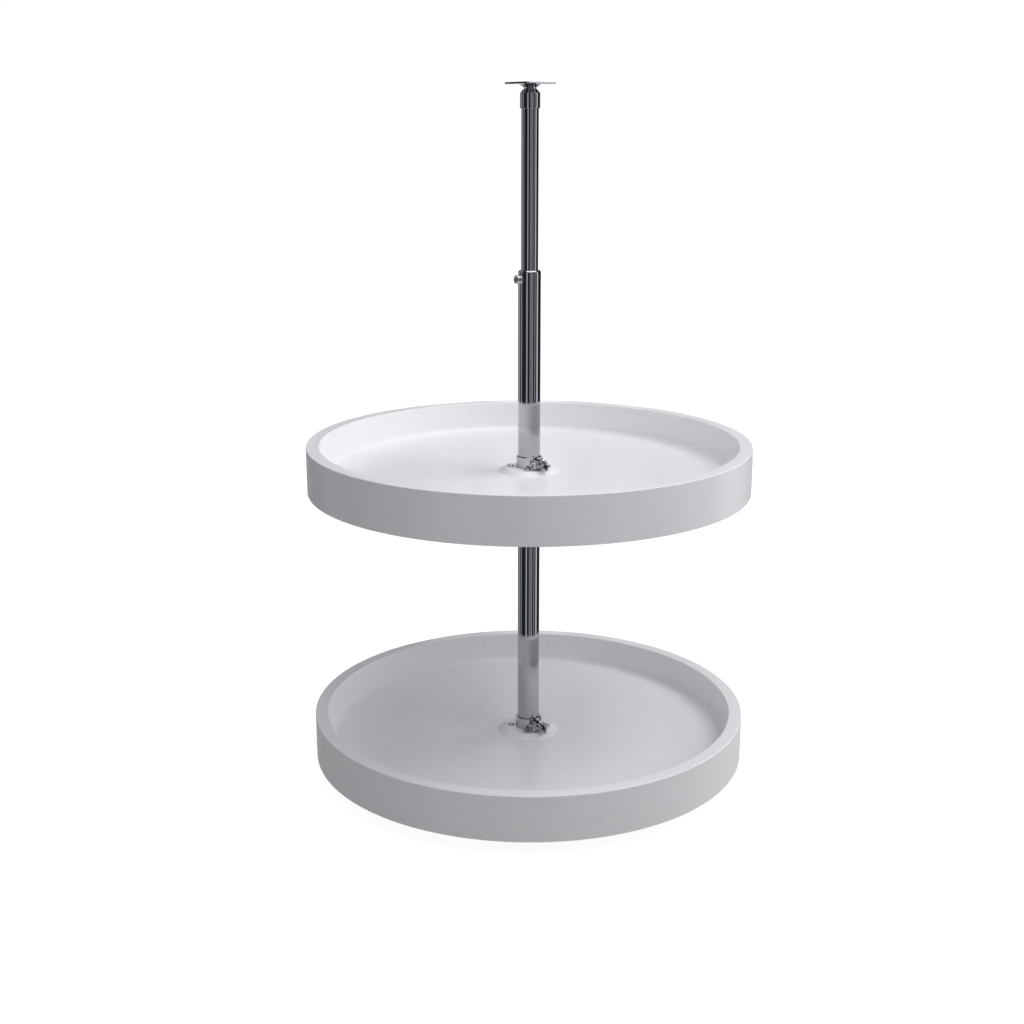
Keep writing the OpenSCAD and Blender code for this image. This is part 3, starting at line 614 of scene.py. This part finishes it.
roof_faces = [sector_face(z, roof_rim(roof_edge), bore, hole, roof_hole_at) for z, bore, hole in (
    (roof_under, flare_radius, roof_hole + roof_sink),
    (roof_under + roof_sink, flare_radius, roof_hole),
    (roof_high[2], roof_pin_radius, roof_hole))]
bend = np.linspace(np.pi / 2, flare_angle, 17)
trumpet_r = neck_radius + (flare_radius - neck_radius) * (1 - np.cos(bend) / math.cos(flare_angle))
trumpet_z = roof_low[2] + ((roof_under - roof_low[2]) * (np.sin(bend) - math.sin(flare_angle))
                           / (1 - math.sin(flare_angle)))
trumpet = np.vstack([np.stack([trumpet_r, trumpet_z], -1),
                     [(roof_pin_radius, roof_low[2]), (roof_pin_radius, roof_high[2])]])
piece(
    "ceiling_plate_pressing",
    [copies(pierced(roof_faces), 4, roof_turn),
     copies(turned(wall_layers(roof_rim, roof_edge, roof_under, roof_high[2])), 1, roof_turn),
     copies(turned(trumpet), 1, roof_turn)],
    "ceiling_mount", ["top_plate"], chromed_pressing)

# ---- Ceiling pivot ----
# Ground steel pin, riveted flush in the ceiling plate. It hangs down through the trumpet into the
# nylon bush in the cap's neck, and its tip is bevelled to lead the bush on.
piece(
    "ceiling_pivot",
    [turned(rounded([
        (0, roof_pin_low[2], 0), (roof_pin_radius - pin_bevel, roof_pin_low[2], pin_round),
        (roof_pin_radius, roof_pin_low[2] + pin_bevel, pin_round),
        (roof_pin_radius, roof_pin_high[2], 0), (0, roof_pin_high[2], 0)]))],
    "ceiling_mount", ["top_pivot_pin"], ground_steel)

# ---- Trays ----
# Two like round trays, injection moulded in white ABS with a hollow double rim, open and ribbed
# underneath. The raised boss in the middle has four seats for the hub's screws.
TIERS = ("lower", "upper")
tray_low, tray_high = node_box("lower_tray")
tray_radius, tray_height = tray_high[0], tray_high[2] - tray_low[2]
tray_floor, tray_boss, tray_wall = 17.0, 22.5, 3.0
rim_in, floor_radius = tray_radius - 15.0, tray_radius - 18.5
rim_edge, floor_fillet = 1.2, 8.0
boss_top, boss_foot, boss_edge, foot_fillet = 28.01, 35.51, 2.0, 4.0
tray_hole, screw_clearance = 14.86, 2.25
screw_at, screw_ring = -95.0, 21.01
seat_radius, seat_depth = 4.25, 0.8
rib_count, ring_count, rib_foot, rib_edge = 24, 5, 2.5, 0.4
rib_foot_width, rib_root_width = 1.6, 2.0
first_ring, ring_pitch = 53.01, 36.7
ring_lift = 0.05                         # keeps the rings' feet off the ribs'


def moulded_abs():
    """White ABS from a spark-eroded mould: a fine satin pebble of 0.8 mm, and faint cloudy
    patches some 8 mm across where the melt flowed, in a clean white with a trace of blue."""
    pebble, cloud = 0.8, 8.0             # millimetres
    made, tree, shader, place = new_finish("moulded_abs", "#f3f4f5", 0.38, IOR=1.54)
    clouds = add(tree, "TexNoise", {"Vector": place, "Scale": 1 / (cloud * MM), "Detail": 3.0})
    pebbles = add(tree, "TexVoronoi", {"Vector": place, "Scale": 1 / (pebble * MM)},
                  feature="SMOOTH_F1")
    tint = add(tree, "Mix", {0: (clouds, "Fac"), 6: linear("#f7f8f9"), 7: linear("#f0f1f3")},
               data_type="RGBA")
    rough = add(tree, "MapRange", {"Value": (clouds, "Fac"), "To Min": 0.32, "To Max": 0.44})
    bump = add(tree, "Bump", {"Height": (pebbles, "Distance"), "Strength": 0.25,
                              "Distance": 0.05 * MM})
    link_finish(tree, shader, rough, bump, tint)
    return made


def bar(section, start, end):
    """A closed section (y, z) carried along X from start to end, its ends drawn to a point in
    the section's middle."""
    middle = np.broadcast_to(section.mean(axis=0), section.shape)
    rows = [(start, middle), (start, section), (end, section), (end, middle)]
    return patch(np.array([np.column_stack([np.full(len(s), x), s]) for x, s in rows]))


abs_white = moulded_abs()
slope = math.atan2(tray_boss - tray_floor, boss_foot - boss_top)
under, boss_under = tray_floor - tray_wall, tray_boss - tray_wall
shift = tray_wall * math.tan(slope / 2)
flat_top, flat_under = boss_top - boss_edge * math.tan(slope / 2), boss_top - shift
bowl_steps = 8
bowl = rounded([
    (boss_top, tray_boss, boss_edge), (boss_foot, tray_floor, foot_fillet),
    (floor_radius, tray_floor, floor_fillet), (rim_in, tray_height, rim_edge),
    (tray_radius, tray_height, rim_edge), (tray_radius, 0, 0.5), (tray_radius - tray_wall, 0, 0.5),
    (tray_radius - tray_wall, tray_height - tray_wall, 1.5),
    (rim_in + tray_wall, tray_height - tray_wall, 1.5), (floor_radius + tray_wall, under, 1.5),
    (boss_foot - shift, under, 0), (flat_under, boss_under, 0), (tray_hole, boss_under, 0),
    (tray_hole, tray_boss, 0)], steps=bowl_steps)
skin, hole_wall = bowl[:-2 * (bowl_steps + 1)], bowl[[-bowl_steps - 2, -1]]
seat_z = tray_boss - seat_depth
boss_faces = [sector_face(z, round_rim(rim), tray_hole, hole, screw_ring) for z, rim, hole in (
    (tray_boss, flat_top, seat_radius), (seat_z, flat_top, seat_radius),
    (seat_z, flat_top, screw_clearance), (boss_under, flat_under, screw_clearance))]


def rib_section(middle, foot):
    """Section of a rib about its middle: narrower at its rounded foot than at its root, which is
    sunk 1 mm into the floor."""
    half_foot, half_root = rib_foot_width / 2, rib_root_width / 2
    return rounded([(middle - half_foot, foot, rib_edge), (middle + half_foot, foot, rib_edge),
                    (middle + half_root, under + 1, 0), (middle - half_root, under + 1, 0)])


tray_shells = [
    copies(turned(skin), 1, screw_at), copies(turned(hole_wall), 1, screw_at),
    copies(pierced(boss_faces), 4, screw_at),
    copies(bar(rib_section(0, rib_foot), first_ring, tray_radius - tray_wall / 2), rib_count,
           180 / rib_count)]
for ring_radius in first_ring + ring_pitch * np.arange(ring_count):
    tray_shells.append(turned(rib_section(ring_radius, rib_foot + ring_lift), ring=True))
tier_z = {tier: node_box(f"{tier}_tray")[0][2] for tier in TIERS}
for tier in TIERS:
    piece(f"{tier}_moulded_tray", [moved(shell, z=tier_z[tier]) for shell in tray_shells],
          f"{tier}_shelf", [f"{tier}_tray"], abs_white)

# ---- Clamp hubs ----
# Zinc die-casting under each tray's boss, chromium plated. Its dished flange carries the tray,
# and its split collar with two ears stands up through the tray and grips the post.
flange_wall, flange_radius = 3.0, 50.01
hub_bore, collar_radius, collar_top = tube_radius + play, tube_radius + 1.91, 35.5
collar_edge, slit = 1.0, 2.4
clamp_at = -57.0
ear_foot, ear_top, ear_reach, ear_wall, ear_corner, ear_edge = 22.9, 33.5, 35.61, 2.6, 8.0, 0.45
set_at, set_z, set_radius, set_boss, set_out = -3.0, 31.0, 2.0, 3.4, 15.71
set_in, set_steps = tube_radius + 1, 64  # the boss starts inside the collar's wall


def chromium_on_casting():
    """Bright chromium on a polished zinc casting: a mirror with the soft orange peel that thick
    copper and nickel leave, some 2.5 mm from crest to crest."""
    peel, haze = 2.5, 1.2                # millimetres
    made, tree, shader, place = new_finish("chromium_on_casting", "#c6c7c9", 0.07, Metallic=1.0)
    peels = add(tree, "TexNoise", {"Vector": place, "Scale": 1 / (peel * MM), "Detail": 1.0})
    hazes = add(tree, "TexNoise", {"Vector": place, "Scale": 1 / (haze * MM), "Detail": 3.0})
    rough = add(tree, "MapRange", {"Value": (hazes, "Fac"), "From Min": 0.3, "From Max": 0.7,
                                   "To Min": 0.04, "To Max": 0.12})
    bump = add(tree, "Bump", {"Height": (peels, "Fac"), "Strength": 0.3, "Distance": 0.08 * MM})
    link_finish(tree, shader, rough, bump)
    return made


def split_ring(section, gap, steps=200):
    """A closed section (r, z) carried round Z from one face of a slit to the other. A point at
    radius r runs from the angle asin(gap / 2 / r) to a full turn less that angle, so the slit's
    faces lie flat and gap apart."""
    ends = np.broadcast_to(section.mean(axis=0), section.shape)
    u = np.concatenate([[0], np.linspace(0, 1, steps), [1]])[:, None]
    profile = np.stack([ends] + [section] * steps + [ends])
    r, z = profile[..., 0], profile[..., 1]
    start = np.arcsin(gap / 2 / r)
    t = start + u * (2 * np.pi - 2 * start)
    return patch(np.stack([r * np.cos(t), r * np.sin(t), z], axis=-1))


def slab(corners, foot, top, edge):
    """A plate over an outline of corners (x, y, radius) with its lower left corner first, from
    z = foot to top, its edges rounded: on each quarter arc the outline moves in by
    edge (1 - cos a) while its height changes by edge (1 - sin a)."""
    a = np.linspace(0, np.pi / 2, 4)
    inset = np.concatenate([edge * (1 - np.cos(a))[::-1], edge * (1 - np.cos(a))])
    height = np.concatenate([foot + edge * (1 - np.sin(a))[::-1], top - edge * (1 - np.sin(a))])
    inward = np.array([[1, 1], [-1, 1], [-1, -1], [1, -1]])
    rows = []
    for i, h in zip(inset, height):
        outline = rounded([(x + i * sx, y + i * sy, max(r - i, 0.05))
                           for (x, y, r), (sx, sy) in zip(corners, inward)])
        rows.append(np.column_stack([outline, np.full(len(outline), h)]))
    ends = [np.broadcast_to(row.mean(axis=0), row.shape) for row in (rows[0], rows[-1])]
    return patch(np.array([ends[0], *rows, ends[1]]))


def beside_slit(shell, x, z):
    """A shell in the collar's slit: its X points out along the slit, its Y up and its Z to the
    bolt head's side, with its origin at x along the slit and height z."""
    c, s = math.cos(math.radians(clamp_at)), math.sin(math.radians(clamp_at))
    return aimed(shell, (x * c, x * s, z), (c, s, 0), (0, 0, 1), (s, -c, 0))


chromed_casting = chromium_on_casting()
flange_low, disc_low = under - flange_wall, boss_under - flange_wall
gap, deep = shift + press, 2 * shift + press
flange = rounded([
    (hub_bore, boss_under, 0), (hub_bore, flange_low, 0.3), (collar_radius, flange_low, 0.4),
    (collar_radius, disc_low, 0.8), (boss_top - deep, disc_low, 2.5),
    (boss_foot - deep, flange_low, 2.5), (flange_radius, flange_low, 0.7),
    (flange_radius, under, 0.7), (boss_foot - gap, under, 0), (boss_top - gap, boss_under, 0)])
collar_foot = boss_under - 0.5           # inside the flange
collar = rounded([
    (hub_bore, collar_foot, 0), (collar_radius, collar_foot, 0),
    (collar_radius, collar_top, collar_edge), (hub_bore, collar_top, collar_edge / 2)])
collar_middle = collar_radius - 0.9      # ears and gussets start inside the collar's wall
ear_outline = [(collar_middle, ear_foot, 0.3), (ear_reach, ear_foot, 0.8),
               (ear_reach, ear_top, ear_corner), (collar_middle, ear_top, 0.6)]
ear_out = slit / 2 + ear_wall
gusset_count, gusset_wall, gusset_top = 8, 2.0, disc_low + 1.5
gusset = rounded([(-gusset_wall / 2, flange_low, 0.5), (gusset_wall / 2, flange_low, 0.5),
                  (gusset_wall / 2, gusset_top, 0), (-gusset_wall / 2, gusset_top, 0)])
hub_shells = [
    turned(flange, ring=True),
    copies(bar(gusset, collar_middle, boss_top), gusset_count, screw_at + 180 / gusset_count),
    copies(split_ring(collar, slit), 1, clamp_at),
    beside_slit(slab(ear_outline, slit / 2, ear_out, ear_edge), 0, 0),
    beside_slit(slab(ear_outline, -ear_out, -slit / 2, ear_edge), 0, 0),
    radial(turned(rounded([
        (set_radius + press, set_in, 0), (set_boss, set_in, 0), (set_boss, set_out, 0.5),
        (set_radius + press, set_out, 0.25)]), ring=True, steps=set_steps), set_at, set_z)]
for tier in TIERS:
    piece(f"{tier}_clamp_hub", [moved(shell, z=tier_z[tier]) for shell in hub_shells],
          f"{tier}_shelf", [f"{tier}_hub"], chromed_casting)

# ---- Clamp bolts ----
# M5 socket-head bolt, washer and hexagon nut through each hub's ears, and a small socket set
# screw in the collar. All are steel with a bright zinc plate; the bolt's head is knurled.
bolt_radius, bolt_pitch, bolt_tail = 2.5, 0.8, 2.0
bolt_head_radius, bolt_head_height = 4.25, 5.0
bolt_x, bolt_z = 22.21, 28.2
nut_flats, nut_height, nut_face = 8.0, 4.0, 3.75
washer_radius = 5.0
bolt_seat = ear_out + washer


def nut(flats, height, face, bore):
    """A hexagon nut, its corners turned off on both faces: its radius is the lesser of the
    hexagon's and a cone's that starts at the face's radius and widens 1.73 for each 1 down."""
    drop = np.linspace(0, 0.5, 6)
    chamfer = [(np.minimum(hexagon(flats, SMALL_STEPS), face + 1.73 * d), d) for d in drop]
    return turned(chamfer + [(r, height - d) for r, d in chamfer[::-1]]
                  + [(bore + 0.35, height), (bore, height - 0.35), (bore, 0.35), (bore + 0.35, 0)],
                  ring=True, steps=SMALL_STEPS)


clamp_washer = stamped_washer(washer_radius, bolt_radius, 0)
clamp_nut = nut(nut_flats, nut_height, nut_face, bolt_radius + play)
clamp_bolt = socket_screw(bolt_radius, bolt_pitch, bolt_seat + ear_out + nut_height + bolt_tail,
                          bolt_head_radius, bolt_head_height, 0.6, 4.0, 2.5, knurl=0.08)
set_pitch, set_top = 0.7, set_out - 0.05
set_mouth, set_socket = hexagon(2.3, set_steps), hexagon(2, set_steps)
set_screw = turned(
    thread(set_radius, set_pitch, hub_bore, set_out - 0.3, 0.4, set_steps)
    + [(set_radius - set_pitch / 2, set_top), (set_mouth, set_top), (set_socket, set_out - 0.25),
       (set_socket, set_out - 1.4), (0, set_out - 1.8)], steps=set_steps)
for tier in TIERS:
    z = tier_z[tier]
    piece(f"{tier}_ear_washer", [beside_slit(moved(clamp_washer, z=ear_out), bolt_x, z + bolt_z)],
          f"{tier}_shelf", [f"{tier}_clamp_washer"], zinc)
    piece(f"{tier}_ear_nut",
          [beside_slit(moved(clamp_nut, z=-ear_out - nut_height), bolt_x, z + bolt_z)],
          f"{tier}_shelf", [f"{tier}_clamp_nut"], zinc)
    piece(f"{tier}_ear_bolt", [beside_slit(moved(clamp_bolt, z=bolt_seat), bolt_x, z + bolt_z)],
          f"{tier}_clamp", [f"{tier}_clamp_bolt"], zinc)
    piece(f"{tier}_collar_screw", [radial(set_screw, set_at, z + set_z)],
          f"{tier}_shelf", [f"{tier}_set_screw"], zinc)

# ---- Hub screws ----
# Four pan-head screws with a cross recess in the seats of each tray's boss, driven down into
# the hub's flange. Steel, bright zinc plate.
head_radius, head_height, head_dome = 4.0, 2.6, 1.5
shank_radius, shank_pitch, shank_reach = 2.0, 0.7, 6.2


def cross(length, width):
    """Radius of a cross at each angle, with a the angle from the nearest arm's middle: the
    lesser of length / 2 / cos a, its end, and width / 2 / sin a, its side."""
    a = np.abs((angles(SMALL_STEPS) + np.pi / 4) % (np.pi / 2) - np.pi / 4) + 1e-6
    return np.minimum(length / 2 / np.cos(a), width / 2 / np.sin(a))


pan_head = [layer for layer in rounded([
    (0, 0, 0), (head_radius, 0, 0.15), (head_radius, head_height, head_dome), (0, head_height, 0)])
    if layer[0] > 0]
pan_screw = turned(
    thread(shank_radius, shank_pitch, -shank_reach, 0, 0.5, SMALL_STEPS) + pan_head
    + [(cross(4.2, 1.2), head_height), (cross(4, 1), head_height - 0.15),
       (cross(1.8, 0.8), head_height - 1.3), (0, head_height - 1.6)], steps=SMALL_STEPS)
four_screws = copies(moved(copies(pan_screw, 1, 45), x=screw_ring), 4, screw_at)
for tier in TIERS:
    piece(f"{tier}_pan_screws", [moved(four_screws, z=tier_z[tier] + seat_z)],
          f"{tier}_shelf", [f"{tier}_hub_screws"], zinc)

# ---- Studio ----
# A white floor and background, with soft lights above, in front, at the right and behind the
# right side. The metal reflects black cloth with paler strips before it, a pale floor card and a
# pale ceiling card, which show in reflections only, as polished tube needs them.


def empty_tree(owner):
    """The node tree of a new material or world, with nothing in it."""
    owner.use_nodes = True
    owner.node_tree.nodes.clear()
    return owner.node_tree


def card_finish(name, colour, glow):
    """A plain glowing surface for the studio's cards."""
    made = bpy.data.materials.new(name)
    tree = empty_tree(made)
    light = add(tree, "Emission", {"Color": linear(colour), "Strength": glow})
    add(tree, "OutputMaterial", {"Surface": (light, "Emission")})
    return made


def stage_object(name, shell, finish, reflections_only=False):
    """A studio surface, in millimetres. A card shows in reflections and nowhere else."""
    mesh = bpy.data.meshes.new(name)
    mesh.from_pydata((shell[0] * MM).tolist(), [], shell[1].tolist())
    mesh.materials.append(finish)
    made = bpy.data.objects.new(name, mesh)
    bpy.context.scene.collection.objects.link(made)
    if reflections_only:
        made.visible_camera = made.visible_diffuse = made.visible_shadow = False
        made.visible_transmission = made.visible_volume_scatter = False


def card(azimuth, width, radius, foot, top):
    """An upright curved card about the post. Its azimuth and width are in degrees, from the
    side that faces the camera, positive to the right."""
    t = np.radians(np.linspace(azimuth - width / 2, azimuth + width / 2, 25))
    x, y = radius * np.sin(t), -radius * np.cos(t)
    rows = np.array([np.column_stack([x, y, np.full(t.shape, z)]) for z in (foot, top)])
    here = np.arange(len(t) - 1)
    above = here + len(t)
    return rows.reshape(-1, 3), np.column_stack([here, here + 1, above + 1, above])


def flat_card(left, right, front, back, z):
    """A level card between two x and two y."""
    points = [(left, front, z), (right, front, z), (right, back, z), (left, back, z)]
    return np.array(points, float), np.array([[0, 1, 2, 3]])


def seen_by(tree):
    """1 for the camera's own ray, a reflection or a ray through glass, and 0 for a ray that
    lights something: the greatest of the three Light Path values."""
    path = add(tree, "LightPath")
    seen = add(tree, "Math", {0: (path, "Is Camera Ray"), 1: (path, "Is Glossy Ray")},
               operation="MAXIMUM")
    return add(tree, "Math", {0: (seen, "Value"), 1: (path, "Is Transmission Ray")},
               operation="MAXIMUM")


floor_reach, floor_glow = 9000.0, 0.93
floor_finish = bpy.data.materials.new("studio_floor")
tree = empty_tree(floor_finish)
seen = seen_by(tree)
lit = add(tree, "Math", {0: (seen, "Value"), 1: floor_glow}, operation="MULTIPLY")
matt = add(tree, "BsdfDiffuse", {"Color": linear("#8c8c8c")})
glow = add(tree, "Emission", {"Color": (1, 1, 1, 1), "Strength": (lit, "Value")})
both = add(tree, "AddShader", {0: (matt, "BSDF"), 1: (glow, "Emission")})
add(tree, "OutputMaterial", {"Surface": (both, "Shader")})
stage_object("studio_floor", turned([(0, 0), (floor_reach, 0)], steps=64), floor_finish)

world = bpy.data.worlds.new("studio")
bpy.context.scene.world = world
tree = empty_tree(world)
seen = seen_by(tree)
ambient = add(tree, "Background", {"Color": linear("#fafbff"), "Strength": 0.43})
white = add(tree, "Background", {"Color": (1, 1, 1, 1), "Strength": 1.0})
mix = add(tree, "MixShader",
          {0: (seen, "Value"), 1: (ambient, "Background"), 2: (white, "Background")})
add(tree, "OutputWorld", {"Surface": (mix, "Shader")})

card_radius, card_top, cloth_edge = 420.0, 1100.0, -165.0
black = card_finish("black_cloth", "#4b4c52", 0.34)
stage_object("drape", card(0, 360, card_radius, 0, card_top), black, True)
stage_object("floor_card", turned([(0, 1), (card_radius, 1)], steps=64),
             card_finish("floor_card", "#ffffff", 0.45), True)
stage_object("ceiling_cloth",
             flat_card(-card_radius, cloth_edge, -card_radius, card_radius, card_top), black, True)
stage_object("ceiling_card",
             flat_card(cloth_edge, card_radius, -card_radius, card_radius, card_top),
             card_finish("ceiling_card", "#ffffff", 2.3), True)
# Each strip is its azimuth, width, foot and glow. The last three stand behind the unit.
strips = ((-121, 26, 0, 0.53), (-86, 16, 0, 0.38), (-25, 14, 0, 0.60), (20, 36, 0, 0.29),
          (34, 4, 0, 0.51), (58, 12, 0, 0.34), (87, 17, 0, 1.00), (82, 30, 790, 1.13),
          (161, 10, 0, 0.45), (180, 16, 0, 0.97), (-163, 10, 0, 0.60))
for number, (azimuth, width, foot, glow) in enumerate(strips):
    stage_object(f"strip_{number}", card(azimuth, width, card_radius - 10 - number, foot, card_top),
                 card_finish(f"strip_{number}", "#f5f7ff", glow), True)


def soft_light(name, azimuth, height, power, size=1.3, away=2.6, aim=0.25):
    """A square soft light aimed at the post between the trays. Its azimuth is counted as a
    card's is, and its height is the angle above the level; sizes are in metres."""
    light = bpy.data.lights.new(name, "AREA")
    light.shape, light.size, light.energy = "SQUARE", size, power
    a, h = math.radians(azimuth), math.radians(height)
    out = (math.sin(a) * math.cos(h), -math.cos(a) * math.cos(h), math.sin(h))
    made = bpy.data.objects.new(name, light)
    made.location = (away * out[0], away * out[1], away * out[2] + aim)
    made.rotation_euler = (math.pi / 2 - h, 0, a)
    made.visible_glossy = False
    bpy.context.scene.collection.objects.link(made)


for name, azimuth, height, power in (
        ("top", 0, 90, 4), ("high_front", 20, 55, 4.5), ("high_right", 90, 55, 23),
        ("right", 60, 30, 7.5), ("front", 0, 30, 3.5), ("back_right", 120, 8, 17)):
    soft_light(name, azimuth, height, power)

camera = bpy.data.cameras.new("camera")
camera.lens, camera.sensor_width = 50.155, 36.0
camera_away, camera_height, camera_dip, camera_turn = 1.6032, 0.7388, 0.2624, 0.0122
viewer = bpy.data.objects.new("camera", camera)
viewer.location = (0, -camera_away, camera_height)
viewer.rotation_euler = (math.pi / 2 - camera_dip, 0, camera_turn)
bpy.context.scene.collection.objects.link(viewer)
bpy.context.scene.camera = viewer
bpy.context.scene.view_settings.view_transform = "Standard"
